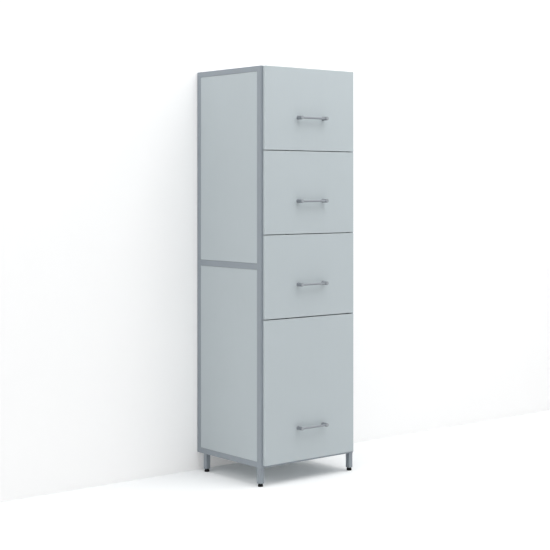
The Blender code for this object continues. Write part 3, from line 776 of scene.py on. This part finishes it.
def add_handle(number, finish):
    """Bar handle: two turned posts on roses, and the bar through them."""
    node = f"drawer_handle_{number}"
    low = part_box(node)[0]
    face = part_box(f"drawer_front_{number}")[0].y
    reach, level = handle_posts(number)
    tip = face - low.y
    tray_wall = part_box(f"drawer_tray_{number}")[0].y
    screw, screw_end = HANDLE_SCREW_RADIUS, face - tray_wall
    profile = [(0, screw_end), (screw, screw_end), (screw, 0), (ROSE_RADIUS, 0)]
    rounding = ROSE_ROUNDING
    profile += arc((ROSE_RADIUS - rounding, ROSE_THICKNESS - rounding), rounding, 0, 90)
    profile += arc((POST_RADIUS + COVE, ROSE_THICKNESS + COVE), COVE, 270, 180)
    rounding = POST_ROUNDING
    profile += arc((POST_RADIUS - rounding, tip - rounding), rounding, 0, 90)
    profile += [(CAP_GROOVE_RADIUS, tip), (CAP_GROOVE_RADIUS - CAP_GROOVE, tip - CAP_GROOVE)]
    profile += [(CAP_GROOVE_RADIUS - 2 * CAP_GROOVE, tip), (0, tip)]
    bm = bmesh.new()
    for side in WAYS:
        outwards = Matrix.Translation((side * reach, face, level)) @ Matrix.Rotation(math.pi / 2, 4, "X")
        turn(bm, profile, POST_SIDES, outwards)
    posts = add_mesh("handle_posts", mesh_from("handle_posts", bm))
    bm = bmesh.new()
    centre = (0, low.y + BAR_SETBACK, level - BAR_DROP)
    along = Matrix.Translation(centre) @ Matrix.Rotation(math.pi / 2, 4, "Y")
    turn(bm, [(0, -reach), (BAR_RADIUS, -reach), (BAR_RADIUS, reach), (0, reach)], BAR_SIDES, along)
    handle = add_mesh(f"handle_{number}", mesh_from(f"handle_{number}", bm, finish))
    union = handle.modifiers.new("posts", "BOOLEAN")
    union.operation = "UNION"
    union.solver = "EXACT"
    union.object = posts
    graph = bpy.context.evaluated_depsgraph_get()
    joined = bpy.data.meshes.new_from_object(handle.evaluated_get(graph), depsgraph=graph)
    handle.modifiers.clear()
    handle.data = joined
    joined.materials.clear()
    joined.materials.append(finish)
    joined.shade_smooth()
    joined.set_sharp_from_angle(angle=math.radians(SHARP_ANGLE))
    bpy.data.objects.remove(posts, do_unlink=True)
    settle(handle, f"drawer_{number}", "handle_metal", node)


def thread_radius(angle, height):
    """Radius of the stud's thread at an angle and a height, a triangular wave."""
    phase = (height / THREAD_PITCH - angle / (2 * math.pi)) % 1.0
    return STUD_RADIUS - THREAD_DEPTH * abs(2 * phase - 1)


def add_foot(node, pad_finish, stud_finish):
    """Levelling foot: domed pad, and a threaded stud that rises into the leg."""
    low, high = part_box(node)
    centre = Vector(((low.x + high.x) / 2, (low.y + high.y) / 2, low.z))
    pad = (high.x - low.x) / 2
    edge = FOOT_EDGE
    profile = [(0, 0)]
    profile += arc((pad - edge, edge), edge, -90, 0)
    dome = FOOT_TOP - FOOT_PAD_RIM
    for step in range(DOME_STEPS + 1):
        angle = math.radians(90 * step / DOME_STEPS)
        radius = FOOT_NECK + (pad - FOOT_NECK) * math.cos(angle)
        profile.append((radius, FOOT_PAD_RIM + dome * math.sin(angle)))
    bm = bmesh.new()
    place = Matrix.Translation(centre)
    turn(bm, profile + [(0, FOOT_TOP)], FOOT_SIDES, place)
    body = f"foot_{node.removeprefix('levelling_foot_')}"
    mesh = mesh_from(f"foot_pad_{body}", bm, pad_finish)
    settle(add_mesh(mesh.name, mesh), body, "foot_plastic", node)
    bm = bmesh.new()
    top = high.z - low.z
    rows = round((top - FOOT_TOP) / THREAD_PITCH) * THREAD_ROWS_PER_TURN
    rings = []
    for row in range(rows + 1):
        height = FOOT_TOP + (top - FOOT_TOP) * row / rows
        ring = []
        for side in range(THREAD_SIDES):
            angle = 2 * math.pi * side / THREAD_SIDES
            radius = thread_radius(angle, height) * (STUD_END_SHARE if row == rows else 1)
            point = Vector((radius * math.cos(angle), radius * math.sin(angle), height))
            ring.append(bm.verts.new(place @ point))
        rings.append(ring)
    for below, above in zip(rings, rings[1:]):
        for side in range(THREAD_SIDES):
            after = (side + 1) % THREAD_SIDES
            bm.faces.new((below[side], below[after], above[after], above[side]))
    bm.faces.new(rings[0][::-1])
    bm.faces.new(rings[-1])
    mesh = mesh_from(f"foot_stud_{body}", bm, stud_finish)
    settle(add_mesh(mesh.name, mesh), body, "zinc")


def ball_paths(number, rise, depth, share_low, share_high):
    """Rows above and below the middle members of a drawer, left and right."""
    paths = []
    for hand, side in SIDES:
        low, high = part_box(f"runner_outer_{number}_{hand}")
        wall = max(abs(low.x), abs(high.x))
        level = (low.z + high.z) / 2
        length = high.y - low.y
        near = low.y + share_low * length + CAGE_END
        far = low.y + share_high * length - CAGE_END
        for way in WAYS:
            x, z = side * (wall - depth), level + way * rise
            paths.append([(x, near, z), (x, far, z)])
    return paths


def add_balls(number, balls, cages, ball_finish, cage_finish):
    """Both stages of balls ride with the middle members.

    The outer stage is in their rear half and the inner stage in their front
    half, so each stays between its two members when the drawer is out.
    """
    body = f"middle_members_{number}"
    stages = (
        ("outer", OUTER_BALL_RISE, OUTER_BALL_DEPTH, OUTER_BALL_RADIUS, 0.5, 1.0),
        ("inner", INNER_BALL_RISE, INNER_BALL_DEPTH, INNER_BALL_RADIUS, 0.0, 0.5),
    )
    for stage, rise, depth, radius, start, end in stages:
        name = f"balls_{stage}_{number}"
        paths = ball_paths(number, rise, depth, start, end)
        row = balls.bake(
            name, paths_mesh(name, paths), ball_finish, Ball_radius=radius, Pitch=BALL_PITCH
        )
        settle(row, body, "zinc")
        name = f"cage_{stage}_{number}"
        cage = cages.bake(
            name,
            paths_mesh(name, paths),
            cage_finish,
            Ball_radius=radius,
            Pitch=BALL_PITCH,
            Width=CAGE_WIDTH,
            Thickness=CAGE_THICKNESS,
            Tube=POCKET_TUBE,
        )
        settle(cage, body, "zinc")


def spread(low, high, pitch):
    """Even places from low to high, about a pitch apart."""
    steps = max(1, round((high - low) / pitch))
    return [low + (high - low) * step / steps for step in range(steps + 1)]


def back_screws():
    """Screws round the edges of both back panels."""
    places = []
    for level in ("lower", "upper"):
        low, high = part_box(f"back_panel_{level}")
        inset = BACK_SCREW_INSET
        across = spread(low.x + inset, high.x - inset, BACK_SCREW_PITCH)
        up = spread(low.z + inset, high.z - inset, BACK_SCREW_PITCH)
        for x in across:
            for z in (up[0], up[-1]):
                places.append(((x, high.y, z), (0, 1, 0)))
        for z in up[1:-1]:
            for x in (across[0], across[-1]):
                places.append(((x, high.y, z), (0, 1, 0)))
    return places


def runner_screws():
    """Flat screws through the outer members into the posts."""
    places = []
    panel_low, panel_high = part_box("side_panel_upper_left")
    for number in DRAWERS:
        for hand, side in SIDES:
            low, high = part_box(f"runner_outer_{number}_{hand}")
            sheet = max(abs(low.x), abs(high.x)) - RUNNER_SHEET
            level = (low.z + high.z) / 2
            for y in ((low.y + panel_low.y) / 2, (high.y + panel_high.y) / 2):
                places.append(((side * sheet, y, level), (-side, 0, 0)))
    return places


def tray_rivets(number):
    """Rivets that hold the inner members on the tray's walls, seen inside the tray."""
    places = []
    tray_low, tray_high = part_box(f"drawer_tray_{number}")
    depth = tray_high.y - tray_low.y
    for hand, side in SIDES:
        level = middle(f"runner_inner_{number}_{hand}").z
        for share in INNER_HOLE_SHARES:
            y = tray_low.y + share * depth
            places.append(((side * (tray_high.x - RUNNER_SHEET), y, level), (-side, 0, 0)))
    return places


def front_screws(number):
    """Screws through the tray's front wall: the handle's two, and four at the corners."""
    tray_low, tray_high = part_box(f"drawer_tray_{number}")
    wall = tray_low.y + RUNNER_SHEET
    reach, level = handle_posts(number)
    places = [((side * reach, wall, level), (0, 1, 0)) for side in WAYS]
    for side in WAYS:
        for z in (tray_low.z + FRONT_SCREW_INSET, tray_high.z - FRONT_SCREW_INSET):
            places.append(((side * (tray_high.x - FRONT_SCREW_INSET), wall, z), (0, 1, 0)))
    return places


def leg_weld_paths():
    """Two sides of the top of each leg, under the rails: the outer sides are ground flush."""
    rail_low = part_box("front_bottom_rail")[0].z
    paths = []
    for end, away in zip(ENDS, WAYS):
        for hand, side in SIDES:
            centre = middle(f"leg_plug_{end}_{hand}")
            low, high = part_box(f"leg_plug_{end}_{hand}")
            half = (high.x - low.x) / 2
            corner = half - LEG_CORNER
            path = [(centre.x + side * corner, centre.y - away * half, rail_low)]
            for step in range(ARC_STEPS + 1):
                angle = math.radians(90 * step / ARC_STEPS)
                x = centre.x - side * (corner + LEG_CORNER * math.sin(angle))
                y = centre.y - away * (corner + LEG_CORNER * math.cos(angle))
                path.append((x, y, rail_low))
            path.append((centre.x - side * half, centre.y + away * corner, rail_low))
            paths.append(path)
    return paths


def paint_nodes(finish, *nodes):
    for node in nodes:
        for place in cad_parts[node].material_slots:
            place.material = finish


def dress_frame():
    """Paint, boards and plugs of the cabinet itself."""
    panel_low, panel_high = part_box("side_panel_lower_left")
    upper_low, upper_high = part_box("side_panel_upper_left")
    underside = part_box("front_bottom_rail")[0].z
    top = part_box("side_frame_left")[1].z
    rails = ((underside, panel_low.z), (panel_high.z, upper_low.z), (upper_high.z, top))
    seams = [(y, low, high) for y in (panel_low.y, panel_high.y) for low, high in rails]
    welded = powder_coat("frame_paint_welded", seams)
    plain = powder_coat("frame_paint")
    plug = moulded_plastic("plug_plastic", PLUG_GREY, underside, PLUG_SHEEN)
    paint_nodes(welded, "side_frame_left", "side_frame_right")
    for node in sorted(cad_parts):
        if node.endswith("_rail"):
            paint_nodes(plain, node)
        if "panel" in node or node.startswith("drawer_front"):
            paint_nodes(laminate(f"laminate_{node}", *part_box(node)), node)
        if node.startswith("leg_plug"):
            paint_nodes(plug, node)
    beads = bead_recipe()
    mesh = paths_mesh("leg_welds", leg_weld_paths())
    welds = beads.bake(
        "leg_welds", mesh, plain, Bead_radius=BEAD_RADIUS, Step=BEAD_STEP, Ripple=BEAD_RIPPLE
    )
    settle(welds, "cabinet", "frame_paint")


def dress_drawers():
    """Trays, runners, balls, handles and screws."""
    zinc = zinc_plate("runner_zinc")
    ball_finish = polished_steel("ball_steel", STEEL, BALL_ROUGHNESS)
    cage_finish = polished_steel("cage_steel", CAGE_STEEL, CAGE_ROUGHNESS)
    screw_finish = zinc_plate("screw_zinc", STEEL, ZINC)
    lacquer = satin_lacquer("handle_lacquer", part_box("drawer_handle_1")[0].y)
    balls, cages, screws = ball_recipe(), cage_recipe(), screw_recipe()
    cross = {"Recess_reach": RECESS_REACH, "Recess_width": RECESS_WIDTH, "Recess_depth": RECESS_DEPTH}
    shallow = {**cross, "Recess_depth": FLAT_SCREW_HEIGHT / 2}
    plain = dict.fromkeys(cross, NO_RECESS)

    def add_heads(name, body, places, radius, height, recess):
        mesh = points_mesh(name, places)
        heads = screws.bake(name, mesh, screw_finish, Head_radius=radius, Head_height=height, **recess)
        settle(heads, body, "zinc")

    for number in DRAWERS:
        tray = f"drawer_tray_{number}"
        body = f"drawer_{number}"
        paint_nodes(tray_paint(f"tray_paint_{number}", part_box(tray)[0].z), tray)
        for member in ("outer", "middle", "inner"):
            paint_nodes(zinc, *(f"runner_{member}_{number}_{hand}" for hand in HANDS))
        add_balls(number, balls, cages, ball_finish, cage_finish)
        add_handle(number, lacquer)
        places = front_screws(number)
        add_heads(f"front_screws_{number}", body, places, SCREW_RADIUS, SCREW_HEIGHT, cross)
        places = tray_rivets(number)
        add_heads(f"tray_rivets_{number}", body, places, RIVET_RADIUS, RIVET_HEIGHT, plain)
    places = runner_screws()
    add_heads("runner_screws", "cabinet", places, FLAT_SCREW_RADIUS, FLAT_SCREW_HEIGHT, shallow)
    places = back_screws()
    add_heads("back_screws", "cabinet", places, BACK_SCREW_RADIUS, BACK_SCREW_HEIGHT, shallow)


def dress_feet():
    pad = moulded_plastic("foot_plastic", FOOT_BLACK, FOOT_PAD_RIM, FOOT_SHEEN)
    stud = zinc_plate("stud_zinc")
    for end in ENDS:
        for hand in HANDS:
            add_foot(f"levelling_foot_{end}_{hand}", pad, stud)


def stage_finish(name, extra):
    """Matt white, with some extra for the eye, more of it far from the lamps."""
    white = Finish(name)
    path = white.node("ShaderNodeLightPath")
    seen = (path["Is Camera Ray"] + path["Is Glossy Ray"] + path["Is Transmission Ray"]).least(1)
    matt = white.node("ShaderNodeBsdfDiffuse", {}, {"Color": (STAGE_WHITE,) * 3 + (1.0,)})[0]
    far = white.vector("LENGTH", white.place)["Value"].rise(FAR_START, FAR_END)
    inputs = {"Color": (*extra, 1.0), "Strength": seen * (1 + far * FAR_LIFT)}
    glow = white.node("ShaderNodeEmission", {}, inputs)[0]
    both = white.node("ShaderNodeAddShader", {}, {0: matt, 1: glow})[0]
    behind = white.node("ShaderNodeNewGeometry")["Backfacing"]
    clear = white.node("ShaderNodeBsdfTransparent")[0]
    shown = white.node("ShaderNodeMixShader", {}, {0: behind, 1: both, 2: clear})[0]
    output = white.nodes.nodes["Material Output"]
    white.nodes.links.new(shown.socket, output.inputs["Surface"])
    white.nodes.nodes.remove(white.shader)
    return white.material


def add_stage():
    """Floor, and the wall that the cabinet stands against.

    The wall has one face and a window behind the cabinet, so the back is lit
    and seen as well as the front.
    """
    reach = STAGE_REACH
    y = cad_high.y + WALL_GAP
    left, right = cad_low.x + WINDOW_INSET, cad_high.x - WINDOW_INSET
    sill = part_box("rear_bottom_rail")[0].z
    head = cad_high.z - WINDOW_INSET
    floor = [(-reach, -reach, 0), (reach, -reach, 0), (reach, reach, 0), (-reach, reach, 0)]
    wall = [(-reach, y, 0), (reach, y, 0), (reach, y, WALL_HEIGHT), (-reach, y, WALL_HEIGHT)]
    wall += [(left, y, sill), (right, y, sill), (right, y, head), (left, y, head)]
    round_window = [(0, 1, 5, 4), (1, 2, 6, 5), (2, 3, 7, 6), (3, 0, 4, 7)]
    for name, points, faces, extra in (
        ("floor", floor, [(0, 1, 2, 3)], FLOOR_LIFT),
        ("wall", wall, round_window, WALL_LIFT),
    ):
        mesh = bpy.data.meshes.new(name)
        mesh.from_pydata(points, [], faces)
        mesh.materials.append(stage_finish(f"{name}_white", extra))
        add_mesh(name, mesh)


def add_light(name, place, size, power):
    lamp = bpy.data.lights.new(name, "AREA")
    lamp.shape = "SQUARE"
    lamp.size = size
    lamp.energy = power
    light = add_mesh(name, lamp)
    light.location = place
    aim = Vector(LIGHT_AIM) - Vector(place)
    light.rotation_euler = aim.to_track_quat("-Z", "Y").to_euler()


def add_world():
    """Even light from all round, seen as plain white."""
    world = bpy.data.worlds.new("studio")
    world.use_nodes = True
    bpy.context.scene.world = world
    sky = Tree(world.node_tree)
    path = sky.node("ShaderNodeLightPath")
    seen = path["Is Camera Ray"] + path["Is Glossy Ray"] + path["Is Transmission Ray"]
    background = world.node_tree.nodes["Background"]
    strength = WORLD_STRENGTH + seen.least(1) * (1 - WORLD_STRENGTH)
    world.node_tree.links.new(strength.socket, background.inputs["Strength"])
    background.inputs["Color"].default_value = (*WORLD_TINT, 1.0)


def add_camera():
    lens = bpy.data.cameras.new("camera")
    lens.sensor_width = CAMERA_SENSOR
    lens.sensor_fit = "HORIZONTAL"
    lens.lens = CAMERA_LENS
    lens.shift_x, lens.shift_y = CAMERA_SHIFT
    camera = add_mesh("camera", lens)
    camera.location = CAMERA_PLACE
    camera.rotation_euler = (math.pi / 2, 0, -math.radians(CAMERA_TURN))
    bpy.context.scene.camera = camera


dress_frame()
dress_drawers()
dress_feet()
add_stage()
for name, place, size, power in LIGHTS:
    add_light(name, place, size, power)
add_world()
add_camera()
bpy.context.scene.view_settings.view_transform = "Standard"
